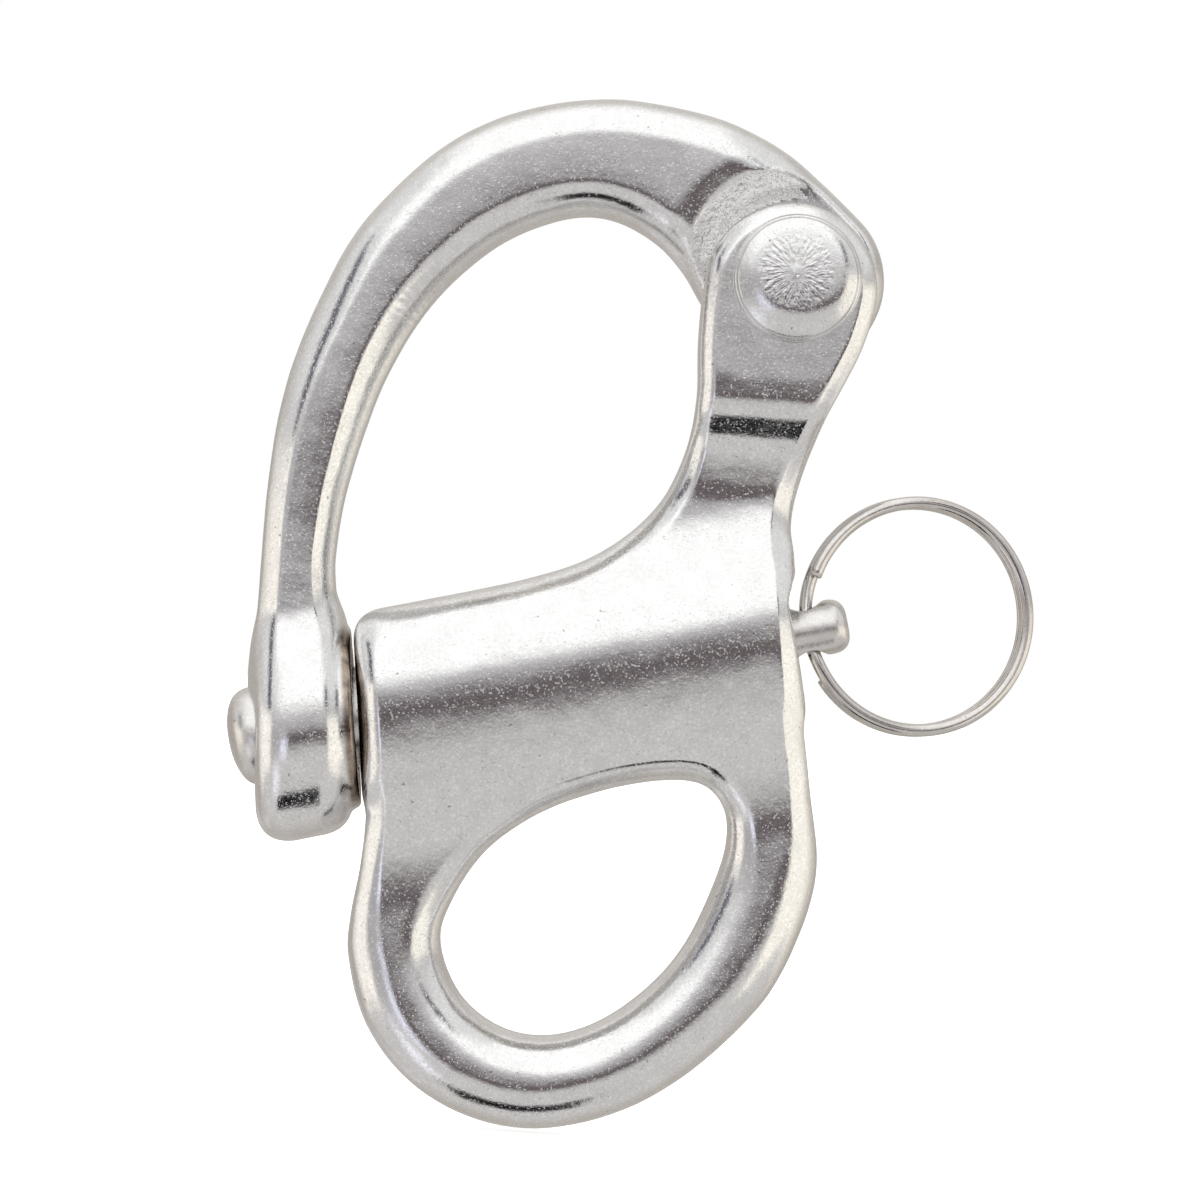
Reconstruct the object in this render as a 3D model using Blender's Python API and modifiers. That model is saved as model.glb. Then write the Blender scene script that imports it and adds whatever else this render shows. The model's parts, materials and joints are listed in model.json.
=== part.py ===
"""Snap shackle with a fixed eye, 96 mm long, in investment-cast stainless steel.

The body casting is an eye, a slanted barrel and an arm that ends in a fork. A hook is hinged
in the fork on a rivet, and its boss closes against the barrel's end. A spring-loaded plunger
in the barrel passes through the boss and locks it. A double-turn ring through the plunger's
tail pulls it back and, bearing on the body, keeps it from leaving the barrel.

Frame: the origin is the centre of the eye's bearing arc, +Z is the line of the load, towards
the hook, +X points to the ring's side and the shackle lies flat in the plane Y = 0.
"""

import math

import bmesh
import bpy
from mathutils import Matrix, Vector

MM = 0.001

# Fits between pieces, in metres.
SEAT_GAP = 0.2 * MM
SIDE_GAP = 0.3 * MM
RUNNING_CLEARANCE = 0.1 * MM

# Half thicknesses, from the mid plane Y = 0.
EYE_HALF = 4.6 * MM
EAR_HALF = 7.3 * MM
HOOK_HALF = 4.9 * MM
TANG_HALF = 3.0 * MM

# Hinge of the hook.
PIVOT = Vector((18.8, 0, 63.0)) * MM
RIVET_RADIUS = 3.0 * MM
RIVET_HEAD_RADIUS = 5.95 * MM
RIVET_HEAD_HEIGHT = 2.1 * MM
TANG_RADIUS = 8.2 * MM
RECESS_RADIUS = 10.0 * MM
RECESS_SLOPE = 1.2
SLOT_RADIUS = 9.3 * MM
EAR_CENTRE = (18.3, 62.0)
EAR_RADIUS = 8.1

# The plunger's axis rises to the right. Stations along it are counted from X = 0.
PIN_ORIGIN = Vector((0, 0, 24.6)) * MM
PIN_SLOPE = math.radians(15)
PIN_DIRECTION = Vector((math.cos(PIN_SLOPE), 0, math.sin(PIN_SLOPE)))
PIN_NORMAL = Vector((-math.sin(PIN_SLOPE), 0, math.cos(PIN_SLOPE)))
PLUNGER_RADIUS = 4.65 * MM
TAIL_RADIUS = 2.55 * MM
DOME_TIP = -31.8 * MM
DOME_HEIGHT = 1.6 * MM
SHOULDER = -2.0 * MM
TAIL_END = 26.9 * MM
TAIL_ROUNDING = 0.9 * MM
SHOULDER_CHAMFER = 0.4 * MM

# The barrel and the boss: stations of their end faces, half height and half thickness.
BARREL_LEFT = -19.4 * MM
BARREL_RIGHT = 22.1 * MM
BARREL_HEIGHT = 9.6 * MM
BARREL_HALF = 7.5 * MM
BORE_END = 18.7 * MM
BOSS_LEFT = -29.3 * MM
BOSS_RIGHT = -20.5 * MM
BOSS_HEIGHT = 10.2 * MM
BOSS_HALF = 7.7 * MM
PAD_RADIUS = 6.6 * MM
PAD_RIGHT = -19.8 * MM

# Draft of the cast end faces, as the tangent of their lean from square to the axis.
LEFT_FACE_LEAN = math.tan(math.radians(7.2))
BOSS_OUTER_LEAN = math.tan(math.radians(10.5))
RIGHT_FACE_LEAN = math.tan(math.radians(6.2))

# The ring and the hole that holds it.
RING_WIRE = 1.2 * MM
RING_OUTER = 22.5 * MM
RING_RADIUS = (RING_OUTER - RING_WIRE) / 2
RING_HOLE_RADIUS = 1.4 * MM
RING_TURN_GAP = 0.06 * MM
RING_POINT_STEP = 8
RING_STATION = 23.1 * MM
RING_DIRECTION = math.radians(11.5)
RING_SWING = math.radians(14)
SPOT_FACE = 21.7 * MM
SPOT_RADIUS = 7.0 * MM

# The spring between the plunger's shoulder and the end of the bore.
SPRING_WIRE = 0.9 * MM
SPRING_RADIUS = 3.65 * MM
SPRING_TURNS = 9
SPRING_CLOSED_PITCH = 1.05 * MM
SPRING_POINTS_PER_TURN = 14

# Outlines in the plane Y = 0, in millimetres, as points of a smooth closed curve.
BODY_OUTLINE = [
    (-17.2, 26.0), (-12.0, 30.0), (-4.5, 33.0), (2.5, 36.4), (7.3, 40.8), (9.7, 46.1),
    (10.4, 51.5), (13.0, 54.6), (18.0, 55.4), (22.6, 54.0), (22.4, 50.3), (20.7, 45.2),
    (20.1, 41.3), (20.4, 37.5), (21.3, 32.0), (22.4, 24.5), (23.8, 15.5), (24.7, 9.5),
    (24.2, 4.5), (22.0, -1.8), (18.9, -6.5), (13.5, -11.9), (7.5, -15.6), (0.5, -17.5),
    (-6.0, -16.8), (-11.7, -13.9), (-16.0, -9.0), (-18.2, -3.0), (-18.4, 1.0), (-17.6, 6.0),
    (-17.5, 10.5), (-18.1, 15.5),
]
EYE_HOLE = [
    (-9.7, -1.0), (-9.0, 3.0), (-6.1, 8.0), (-1.3, 11.9), (4.6, 14.5), (10.1, 15.8),
    (13.6, 15.6), (15.7, 13.6), (16.2, 10.5), (15.3, 6.4), (13.1, 0.8), (10.0, -3.5),
    (5.6, -7.1), (0.9, -8.8), (-3.6, -8.3), (-7.5, -5.6),
]
EAR_SIDES = [(25.3, 57.0), (23.8, 53.4), (21.9, 49.6), (16.0, 47.8), (11.2, 49.0), (10.3, 53.5)]
HOOK_OUTER = [
    (20.2, 72.6), (16.7, 75.2), (11.0, 77.6), (4.1, 78.7), (-0.6, 78.7), (-5.5, 77.8),
    (-10.5, 76.0), (-15.2, 73.0), (-19.7, 68.3), (-22.9, 63.9), (-25.5, 58.1), (-27.4, 52.3),
    (-28.5, 46.6), (-29.0, 40.0), (-29.1, 33.0), (-28.9, 26.0), (-28.2, 19.0),
]
HOOK_INNER = [
    (-24.6, 14.0), (-20.6, 19.0), (-20.9, 26.0), (-21.9, 31.4), (-22.1, 35.0), (-21.6, 40.0),
    (-20.3, 45.8), (-18.5, 51.5), (-15.5, 57.4), (-11.8, 61.9), (-8.0, 65.0), (-4.0, 66.9),
    (-0.7, 67.6), (2.5, 67.1), (5.8, 65.4), (8.3, 63.0), (10.2, 60.2),
]

TANG_ARC = (-145, 55)
EAR_ARC = (175, -15)
ARC_POINTS = 12

# Rounded edges of the castings.
EYE_EDGE = 3.3 * MM
EAR_EDGE = 1.3 * MM
BARREL_EDGE = 1.0 * MM
HOOK_EDGE = 3.2 * MM
BOSS_EDGE = 2.0 * MM
PAD_EDGE = 0.2 * MM

# The 45 degree slope at the foot of the ears, and how deep it cuts.
EAR_FOOT_LEVEL = 51.6 * MM
EAR_FOOT_MIDDLE = 16 * MM
SLOPE_BLOCK = 10 * MM
SLOPE_SHIFT = 2 * MM

# Cutters run past the faces they open, or right through the shackle.
CUT_PAST = 3 * MM
THROUGH = 30 * MM
RECESS_CUT = 4 * MM

ROUND_SIDES = 48
SMOOTH_ANGLE = math.radians(35)
STEEL_COLOUR = (0.60, 0.59, 0.58, 1.0)


# ---------------------------------------------------------------- scene and helpers


def clear_scene():
    for item in list(bpy.data.objects):
        bpy.data.objects.remove(item, do_unlink=True)


def new_collection(name):
    collection = bpy.data.collections.new(name)
    bpy.context.scene.collection.children.link(collection)
    return collection


def steel(name, roughness):
    material = bpy.data.materials.new(name)
    material.use_nodes = True
    shader = material.node_tree.nodes["Principled BSDF"]
    shader.inputs["Base Color"].default_value = STEEL_COLOUR
    shader.inputs["Metallic"].default_value = 1.0
    shader.inputs["Roughness"].default_value = roughness
    return material


def place(mesh, name, collection):
    item = bpy.data.objects.new(name, mesh)
    collection.objects.link(item)
    return item


def as_cutter(item):
    item.hide_render = True
    item.display_type = "WIRE"
    return item


def combine(item, other, operation):
    modifier = item.modifiers.new(operation.lower() + " " + other.name, "BOOLEAN")
    modifier.operation = operation
    modifier.solver = "EXACT"
    modifier.object = other


def pin_point(station, height=0.0, across=0.0):
    """A point by its station on the plunger's axis, its height above it and its Y."""
    return PIN_ORIGIN + PIN_DIRECTION * station + PIN_NORMAL * height + Vector((0, across, 0))


def mesh_of_curve(curve, name, collection, matrix):
    """The closed mesh of a filled curve, with its caps welded."""
    guide = bpy.data.objects.new(name + " curve", curve)
    bpy.context.scene.collection.objects.link(guide)
    guide.matrix_world = matrix
    bpy.context.view_layer.update()
    evaluated = guide.evaluated_get(bpy.context.evaluated_depsgraph_get())
    mesh = bpy.data.meshes.new_from_object(evaluated)
    mesh.name = name
    shape = bmesh.new()
    shape.from_mesh(mesh)
    bmesh.ops.remove_doubles(shape, verts=shape.verts, dist=1e-6)
    bmesh.ops.transform(shape, matrix=matrix, verts=shape.verts)
    bmesh.ops.recalc_face_normals(shape, faces=shape.faces)
    shape.to_mesh(mesh)
    shape.free()
    bpy.data.objects.remove(guide, do_unlink=True)
    return place(mesh, name, collection)


def plate(name, loops, half, rounding, collection, resolution=3):
    """A plate in the plane Y = 0 with smooth outlines in millimetres and rounded edges."""
    curve = bpy.data.curves.new(name, "CURVE")
    curve.dimensions = "2D"
    curve.fill_mode = "BOTH"
    curve.resolution_u = resolution
    curve.extrude = half - rounding
    curve.bevel_depth = rounding
    curve.bevel_resolution = 2
    curve.offset = -rounding
    for loop in loops:
        spline = curve.splines.new("BEZIER")
        spline.bezier_points.add(len(loop) - 1)
        spline.use_cyclic_u = True
        for point, (x, z) in zip(spline.bezier_points, loop):
            point.co = (x * MM, z * MM, 0)
            point.handle_left_type = "AUTO"
            point.handle_right_type = "AUTO"
    return mesh_of_curve(curve, name, collection, Matrix.Rotation(math.pi / 2, 4, "X"))


def arc_points(centre, radius, start, stop, count):
    """Points on an arc in millimetres, by angles in degrees from +X towards +Z."""
    points = []
    for index in range(count):
        angle = math.radians(start + (stop - start) * index / (count - 1))
        points.append((centre[0] + radius * math.cos(angle), centre[1] + radius * math.sin(angle)))
    return points


def cylinder(name, centre, direction, radius, length, collection, end_radius=None,
             sides=ROUND_SIDES):
    """A cylinder or frustum about a centre, with its end radius on the direction's side."""
    shape = bmesh.new()
    top = radius if end_radius is None else end_radius
    bmesh.ops.create_cone(
        shape, cap_ends=True, segments=sides, radius1=radius, radius2=top, depth=length
    )
    turn = Vector((0, 0, 1)).rotation_difference(direction).to_matrix().to_4x4()
    bmesh.ops.transform(shape, matrix=Matrix.Translation(centre) @ turn, verts=shape.verts)
    mesh = bpy.data.meshes.new(name)
    shape.to_mesh(mesh)
    shape.free()
    return place(mesh, name, collection)


def oval_barrel(name, left, right, leans, height, half, rounding, collection):
    """An oval bar on the plunger's axis between leaning end faces with rounded rims."""
    shape = bmesh.new()
    bmesh.ops.create_cone(
        shape, cap_ends=True, segments=ROUND_SIDES, radius1=1.0, radius2=1.0, depth=2.0
    )
    for vertex in shape.verts:
        across, up, end = vertex.co
        station, lean = (left, leans[0]) if end < 0 else (right, leans[1])
        vertex.co = pin_point(station + lean * up * height, up * height, across * half)
    shape.normal_update()
    rims = [edge for edge in shape.edges if any(len(f.verts) > 4 for f in edge.link_faces)]
    bmesh.ops.bevel(
        shape, geom=rims, offset=rounding, offset_type="OFFSET", segments=2, profile=0.5,
        affect="EDGES", clamp_overlap=True,
    )
    bmesh.ops.recalc_face_normals(shape, faces=shape.faces)
    mesh = bpy.data.meshes.new(name)
    shape.to_mesh(mesh)
    shape.free()
    return place(mesh, name, collection)


def turned(name, profile, centre, direction, collection):
    """A turned solid from a profile of radius and height that runs down its outer side."""
    mesh = bpy.data.meshes.new(name)
    edges = [(index, index + 1) for index in range(len(profile) - 1)]
    mesh.from_pydata([(radius, 0, height) for radius, height in profile], edges, [])
    item = place(mesh, name, collection)
    item.location = centre
    item.rotation_mode = "QUATERNION"
    item.rotation_quaternion = Vector((0, 0, 1)).rotation_difference(direction)
    screw = item.modifiers.new("turn", "SCREW")
    screw.steps = ROUND_SIDES
    screw.render_steps = ROUND_SIDES
    screw.use_merge_vertices = True
    screw.merge_threshold = 1e-6
    return item


def wire(name, points, thickness, collection):
    """A round wire along points, in metres."""
    curve = bpy.data.curves.new(name, "CURVE")
    curve.dimensions = "3D"
    curve.bevel_depth = thickness / 2
    curve.bevel_resolution = 2
    curve.use_fill_caps = True
    spline = curve.splines.new("POLY")
    spline.points.add(len(points) - 1)
    for point, position in zip(spline.points, points):
        point.co = (*position, 1.0)
    return mesh_of_curve(curve, name, collection, Matrix.Identity(4))


def quarter_round(radius, corner_radius, height, count=5):
    """The rounded upper corner of a turned end, from its top face down its side."""
    points = []
    for index in range(count):
        angle = math.pi / 2 * (1 - index / (count - 1))
        points.append((
            radius - corner_radius + corner_radius * math.cos(angle),
            height - corner_radius + corner_radius * math.sin(angle),
        ))
    return points


def smooth(item, material):
    item.data.materials.clear()
    item.data.materials.append(material)
    item.data.shade_smooth()
    if item.data.polygons:
        item.data.set_sharp_from_angle(angle=SMOOTH_ANGLE)


# ---------------------------------------------------------------- pieces


def ear_block(cutters):
    """Both ears as one block, sloping in at its foot to the arm's thickness."""
    outline = arc_points(EAR_CENTRE, EAR_RADIUS, *EAR_ARC, ARC_POINTS) + EAR_SIDES
    block = as_cutter(plate("ears", [outline], EAR_HALF, EAR_EDGE, cutters))
    for side in (-1, 1):
        slope = bmesh.new()
        bmesh.ops.create_cube(slope, size=SLOPE_BLOCK)
        foot = Vector((EAR_FOOT_MIDDLE, side * EAR_HALF, EAR_FOOT_LEVEL))
        inward = Vector((0, -side, -1)).normalized()
        outward = Vector((0, side, -1)).normalized()
        axes = Matrix((Vector((3, 0, 0)), inward, outward)).transposed().to_4x4()
        centre = foot + inward * SLOPE_SHIFT + outward * SLOPE_BLOCK / 2
        bmesh.ops.transform(slope, matrix=Matrix.Translation(centre) @ axes, verts=slope.verts)
        bmesh.ops.recalc_face_normals(slope, faces=slope.faces)
        mesh = bpy.data.meshes.new("ear foot slope")
        slope.to_mesh(mesh)
        slope.free()
        combine(block, as_cutter(place(mesh, mesh.name, cutters)), "DIFFERENCE")
    return block


def body_casting(parts, cutters):
    """Eye, barrel, arm and fork in one casting, with its slot and bores cut."""
    body = plate("body_casting", [BODY_OUTLINE, EYE_HOLE], EYE_HALF, EYE_EDGE, parts)
    barrel = oval_barrel(
        "barrel", BARREL_LEFT, BARREL_RIGHT, (LEFT_FACE_LEAN, RIGHT_FACE_LEAN),
        BARREL_HEIGHT, BARREL_HALF, BARREL_EDGE, cutters,
    )
    combine(body, as_cutter(barrel), "UNION")
    combine(body, ear_block(cutters), "UNION")
    along_y = Vector((0, 1, 0))
    slot = cylinder(
        "fork slot", PIVOT, along_y, SLOT_RADIUS, 2 * (TANG_HALF + SIDE_GAP), cutters
    )
    rivet_bore = cylinder(
        "rivet bore", PIVOT, along_y, RIVET_RADIUS + RUNNING_CLEARANCE, THROUGH, cutters
    )
    bore_start = BARREL_LEFT - CUT_PAST
    bore = cylinder(
        "plunger bore", pin_point((bore_start + BORE_END) / 2), PIN_DIRECTION,
        PLUNGER_RADIUS + RUNNING_CLEARANCE, BORE_END - bore_start, cutters,
    )
    tail_start, tail_stop = BORE_END - CUT_PAST, BARREL_RIGHT + CUT_PAST
    tail_bore = cylinder(
        "tail bore", pin_point((tail_start + tail_stop) / 2), PIN_DIRECTION,
        TAIL_RADIUS + RUNNING_CLEARANCE, tail_stop - tail_start, cutters,
    )
    spot = cylinder(
        "spot face", pin_point(SPOT_FACE + CUT_PAST / 2), PIN_DIRECTION, SPOT_RADIUS,
        CUT_PAST, cutters,
    )
    for cutter in (slot, rivet_bore, bore, tail_bore, spot):
        combine(body, as_cutter(cutter), "DIFFERENCE")
    return body


def hook_casting(parts, cutters):
    """The bow, the tang between the ears and the boss that the plunger locks."""
    pivot = (PIVOT.x / MM, PIVOT.z / MM)
    tang = arc_points(pivot, TANG_RADIUS / MM, *TANG_ARC, ARC_POINTS)
    hook = plate("hook_casting", [HOOK_OUTER + HOOK_INNER + tang], HOOK_HALF, HOOK_EDGE, parts)
    boss = oval_barrel(
        "boss", BOSS_LEFT, BOSS_RIGHT, (BOSS_OUTER_LEAN, LEFT_FACE_LEAN), BOSS_HEIGHT,
        BOSS_HALF, BOSS_EDGE, cutters,
    )
    pad = oval_barrel(
        "boss pad", PAD_RIGHT - CUT_PAST, PAD_RIGHT, (0, LEFT_FACE_LEAN), PAD_RADIUS,
        PAD_RADIUS, PAD_EDGE, cutters,
    )
    combine(hook, as_cutter(boss), "UNION")
    combine(hook, as_cutter(pad), "UNION")
    for side in (-1, 1):
        recess = cylinder(
            "tang recess", PIVOT + Vector((0, side * (TANG_HALF + RECESS_CUT / 2), 0)),
            Vector((0, side, 0)), RECESS_RADIUS, RECESS_CUT, cutters,
            RECESS_RADIUS + RECESS_CUT * RECESS_SLOPE,
        )
        combine(hook, as_cutter(recess), "DIFFERENCE")
    rivet_bore = cylinder(
        "tang bore", PIVOT, Vector((0, 1, 0)), RIVET_RADIUS + RUNNING_CLEARANCE,
        THROUGH, cutters,
    )
    pin_hole = cylinder(
        "boss bore", pin_point((BOSS_LEFT + BOSS_RIGHT) / 2), PIN_DIRECTION,
        PLUNGER_RADIUS + RUNNING_CLEARANCE, BOSS_RIGHT - BOSS_LEFT + 4 * CUT_PAST, cutters,
    )
    for cutter in (rivet_bore, pin_hole):
        combine(hook, as_cutter(cutter), "DIFFERENCE")
    return hook


def hinge_rivet(parts):
    """The rivet, upset into a low stepped dome on both sides of the fork."""
    seat = EAR_HALF + SEAT_GAP
    head = [
        (0.0, RIVET_HEAD_HEIGHT), (1.6 * MM, 2.0 * MM), (3.0 * MM, 1.6 * MM),
        (3.9 * MM, 1.05 * MM), (4.9 * MM, 0.85 * MM), (5.6 * MM, 0.5 * MM),
        (RIVET_HEAD_RADIUS, 0.0), (RIVET_RADIUS, 0.0),
    ]
    upper = [(radius, seat + height) for radius, height in head]
    lower = [(radius, -height) for radius, height in reversed(upper)]
    return turned("hinge_rivet", upper + lower, PIVOT, Vector((0, -1, 0)), parts)


def locking_plunger(parts, cutters):
    """The plunger: a domed locking pin, a shoulder for the spring and a thin tail."""
    tail = [(0.0, TAIL_END)] + quarter_round(TAIL_RADIUS, TAIL_ROUNDING, TAIL_END)
    shoulder = [
        (TAIL_RADIUS, SHOULDER), (PLUNGER_RADIUS - SHOULDER_CHAMFER, SHOULDER),
        (PLUNGER_RADIUS, SHOULDER - SHOULDER_CHAMFER),
    ]
    dome = []
    for angle in (0, 25, 50, 70, 90):
        turn = math.radians(angle)
        dome.append((
            PLUNGER_RADIUS * math.cos(turn),
            DOME_TIP + DOME_HEIGHT * (1 - math.sin(turn)),
        ))
    dome[-1] = (0.0, DOME_TIP)
    profile = tail + shoulder + dome
    plunger = turned("locking_plunger", profile, PIN_ORIGIN, PIN_DIRECTION, parts)
    hole = cylinder(
        "ring hole", pin_point(RING_STATION), ring_axis(), RING_HOLE_RADIUS,
        4 * TAIL_RADIUS, cutters, sides=ROUND_SIDES // 2,
    )
    combine(plunger, as_cutter(hole), "DIFFERENCE")
    return plunger


def plunger_spring(parts):
    """A compression spring with closed ends round the plunger's tail."""
    start = SHOULDER + SEAT_GAP + SPRING_WIRE / 2
    stop = BORE_END - SEAT_GAP - SPRING_WIRE / 2
    open_pitch = (stop - start - 2 * SPRING_CLOSED_PITCH) / (SPRING_TURNS - 2)
    points = []
    for index in range(SPRING_TURNS * SPRING_POINTS_PER_TURN + 1):
        turns = index / SPRING_POINTS_PER_TURN
        first = min(turns, 1)
        middle = min(max(turns - 1, 0), SPRING_TURNS - 2)
        last = max(turns - SPRING_TURNS + 1, 0)
        station = start + (first + last) * SPRING_CLOSED_PITCH + middle * open_pitch
        angle = turns * math.tau
        points.append(pin_point(
            station, SPRING_RADIUS * math.cos(angle), SPRING_RADIUS * math.sin(angle)
        ))
    return wire("plunger_spring", points, SPRING_WIRE, parts)


def ring_axis():
    """The ring's hinge axis, square to the line from the hole to the ring's centre."""
    return Vector((-math.sin(RING_DIRECTION), 0, math.cos(RING_DIRECTION)))


def pull_ring(parts):
    """Two turns of wire side by side, with a crossover where the ring passes the tail."""
    outward = Vector((math.cos(RING_DIRECTION), 0, math.sin(RING_DIRECTION)))
    outward.rotate(Matrix.Rotation(RING_SWING, 3, ring_axis()))
    upward = ring_axis()
    front = outward.cross(upward)
    if front.y > 0:
        front.negate()
    centre = pin_point(RING_STATION) + outward * RING_RADIUS
    side_step = (RING_WIRE + RING_TURN_GAP) / 2
    first_end, cross_start, cross_stop, last_end = 158, -158, -202, -514
    points = []
    angle = first_end
    while angle >= last_end:
        share = min(max((cross_start - angle) / (cross_start - cross_stop), 0), 1)
        offset = side_step * math.cos(math.pi * share)
        turn = math.radians(angle)
        points.append(
            centre + outward * RING_RADIUS * math.cos(turn)
            + upward * RING_RADIUS * math.sin(turn) + front * offset
        )
        angle -= RING_POINT_STEP
    return wire("pull_ring", points, RING_WIRE, parts)


def build():
    clear_scene()
    parts = new_collection("snap shackle")
    cutters = new_collection("cutters")
    cast = steel("satin cast steel", 0.3)
    turned_steel = steel("turned steel", 0.22)
    drawn = steel("drawn wire", 0.2)
    for piece in (body_casting(parts, cutters), hook_casting(parts, cutters)):
        smooth(piece, cast)
    for piece in (hinge_rivet(parts), locking_plunger(parts, cutters)):
        smooth(piece, turned_steel)
    for piece in (plunger_spring(parts), pull_ring(parts)):
        smooth(piece, drawn)


build()
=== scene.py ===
"""Looks of the snap shackle: smooth castings, turned pins, spring, ring, materials and studio.

The castings and the plunger are grown from signed distance fields in millimetres, negative
inside, with a fine seeded skin. The frame's origin is the centre of the fixed eye's bearing
arc, +Z the load line, +X the ring's side, and the front faces -Y.
"""

import json
import math

import bmesh
import bpy
import numpy as np
from mathutils import Matrix, Vector


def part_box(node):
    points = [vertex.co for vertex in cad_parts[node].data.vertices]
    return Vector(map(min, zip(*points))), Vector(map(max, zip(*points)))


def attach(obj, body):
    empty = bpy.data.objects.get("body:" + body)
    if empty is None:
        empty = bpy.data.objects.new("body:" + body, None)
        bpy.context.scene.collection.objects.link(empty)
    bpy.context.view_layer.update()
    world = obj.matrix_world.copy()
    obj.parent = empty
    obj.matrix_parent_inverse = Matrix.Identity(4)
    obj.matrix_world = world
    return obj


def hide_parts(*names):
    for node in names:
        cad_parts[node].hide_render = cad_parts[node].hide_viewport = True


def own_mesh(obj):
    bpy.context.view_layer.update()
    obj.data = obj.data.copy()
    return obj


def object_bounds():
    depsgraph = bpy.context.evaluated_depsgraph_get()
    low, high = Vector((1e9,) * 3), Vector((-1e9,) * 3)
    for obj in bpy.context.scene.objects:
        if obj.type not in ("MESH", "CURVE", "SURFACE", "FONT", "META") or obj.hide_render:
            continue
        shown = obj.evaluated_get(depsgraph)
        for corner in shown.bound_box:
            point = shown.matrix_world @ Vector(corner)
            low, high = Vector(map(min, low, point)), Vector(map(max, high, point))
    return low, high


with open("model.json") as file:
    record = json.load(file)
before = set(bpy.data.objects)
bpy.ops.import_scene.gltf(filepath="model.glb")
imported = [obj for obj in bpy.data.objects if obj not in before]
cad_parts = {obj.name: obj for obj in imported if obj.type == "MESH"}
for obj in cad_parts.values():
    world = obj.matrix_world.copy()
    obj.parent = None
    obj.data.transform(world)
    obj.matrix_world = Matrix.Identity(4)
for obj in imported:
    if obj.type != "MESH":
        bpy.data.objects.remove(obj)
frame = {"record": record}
cad_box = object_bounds()

MM = 0.001
RNG = np.random.default_rng(7)
VOXEL = 0.25

# ---------------------------------------------------------------- sizes, in millimetres

# "Station" is the place along the plunger's axis and "height" the distance over that axis.
JOINTS = {joint["name"]: joint for joint in frame["record"]["behaviour"]["joints"]}
PIVOT_X, _, PIVOT_Z = (value / MM for value in JOINTS["hook_swing"]["pos_m"])
PIN_X, _, PIN_Z = (value / MM for value in JOINTS["plunger_spin"]["pos_m"])
PIN_COS, _, PIN_SIN = JOINTS["plunger_spin"]["axis"]
PIN_RISE = math.radians(15)
PIN_DIRECTION = Vector((PIN_COS, 0, PIN_SIN))
PIN_NORMAL = Vector((-PIN_SIN, 0, PIN_COS))

# Half thicknesses, from the middle plane out. The hook thins towards its foot.
EYE_HALF, WAIST_HALF, EAR_HALF = 4.6, 4.45, 7.3
HOOK_HALF, TANG_HALF, SLOT_HALF = 4.9, 3.0, 3.3
FOOT_THINNING, FOOT_THINNING_Z = 0.3, (50.0, 34.0)

# Ears, slot and tang, and the recess and faint shoulder round the tang. A steepness scales a
# sloping field so that its blends come out the size they say.
EAR_CENTRE, EAR_RADIUS = (18.3, 62.0), 8.0
SLOT_RADIUS, TANG_RADIUS, RIVET_BORE = 9.3, 8.2, 3.1
RECESS_RADIUS, RECESS_SLOPE, RECESS_SOFTNESS, RECESS_STEEPNESS = 9.0, 0.9, 0.5, 0.8
SHOULDER_START, SHOULDER_STOP, SHOULDER_DROP = 10.3, 13.2, 0.32

# The rough band round the tang, whose far end is where X + Z passes ROUGH_END.
ROUGH_INNER, ROUGH_OUTER = (7.4, 7.6), (10.5, 10.8)
ROUGH_END, ROUGH_FADE = 89.0, 2.0
ROUGH_DEPTH = (TANG_HALF - 0.3, TANG_HALF - 0.1)

# Depth of the rounded edges, and their bend: nearly flat bevels towards 1 and round at 2.
# Each changes over a stretch of Z, or of height for the eye.
EAR_EDGE, ARM_EDGE, EYE_EDGE = 1.5, 2.0, 4.1
ARM_EDGE_Z, EYE_EDGE_HEIGHT = (50, 42), (-12, -24)
FOOT_EDGE, BOW_EDGE, BOW_EDGE_Z = 2.1, 3.3, (36.0, 66.0)
BEVEL_BEND, BOW_BEND, ROUND_BEND = 1.35, 1.9, 2.0
EYE_BEND_HEIGHT, BOW_BEND_Z = (-10, -20), (54.0, 70.0)

# The hook's faces fall off in a faint crown towards their outline.
HOOK_CROWN, HOOK_CROWN_REACH, HOOK_CROWN_LIMIT = 0.013, 5.2, 0.5

# The barrel, its crest, how it blends into arm and eye, and what is bored into it.
BARREL_LEFT, BARREL_RIGHT = -19.4, 22.1
BARREL_TOP, BARREL_BOTTOM, BARREL_HALF = 9.5, 9.0, 7.5
BARREL_FACE_BLEND, BARREL_CORNER, BARREL_TO_BODY = 1.0, 2.6, 0.8
CREST = 1.4
CREST_SLOPES, CREST_SOFTNESS = (0.45, 0.30), (1.5, 2.5)
HALF_BLEND = 1.1
BORE_RADIUS, BORE_END, TAIL_BORE = 4.75, 18.7, 2.65
SPOT_FACE, SPOT_RADIUS = 21.7, 7.0
LEFT_FACE_LEAN = math.tan(math.radians(7.2))
RIGHT_FACE_LEAN = math.tan(math.radians(6.2))

# The hook's boss, the pad on it that nearly meets the barrel's end, and the gap between, which
# places the painted shade.
BOSS_LEFT, BOSS_RIGHT, BOSS_HEIGHT, BOSS_HALF = -29.3, -20.5, 10.2, 7.7
BOSS_LEFT_ROUND, BOSS_RIGHT_ROUND, BOSS_FILLET = 4.2, 3.2, 2.4
BOSS_OUTER_LEAN = math.tan(math.radians(10.5))
PAD_HEIGHT, PAD_HALF, PAD_RIGHT, PAD_DEPTH = 8.3, 6.9, -19.8, 3
PAD_EDGE, PAD_FILLET = 0.6, 0.5
GAP_MIDDLE, GAP_REACH, GAP_HEIGHT = -19.95, (0.75, 0.3), (8.2, 1.2)

# How far the edges of slots and holes are broken.
SLOT_EDGE, BORE_EDGE, HOLE_EDGE, TANG_EDGE = 0.6, 0.5, 0.4, 0.3

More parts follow.
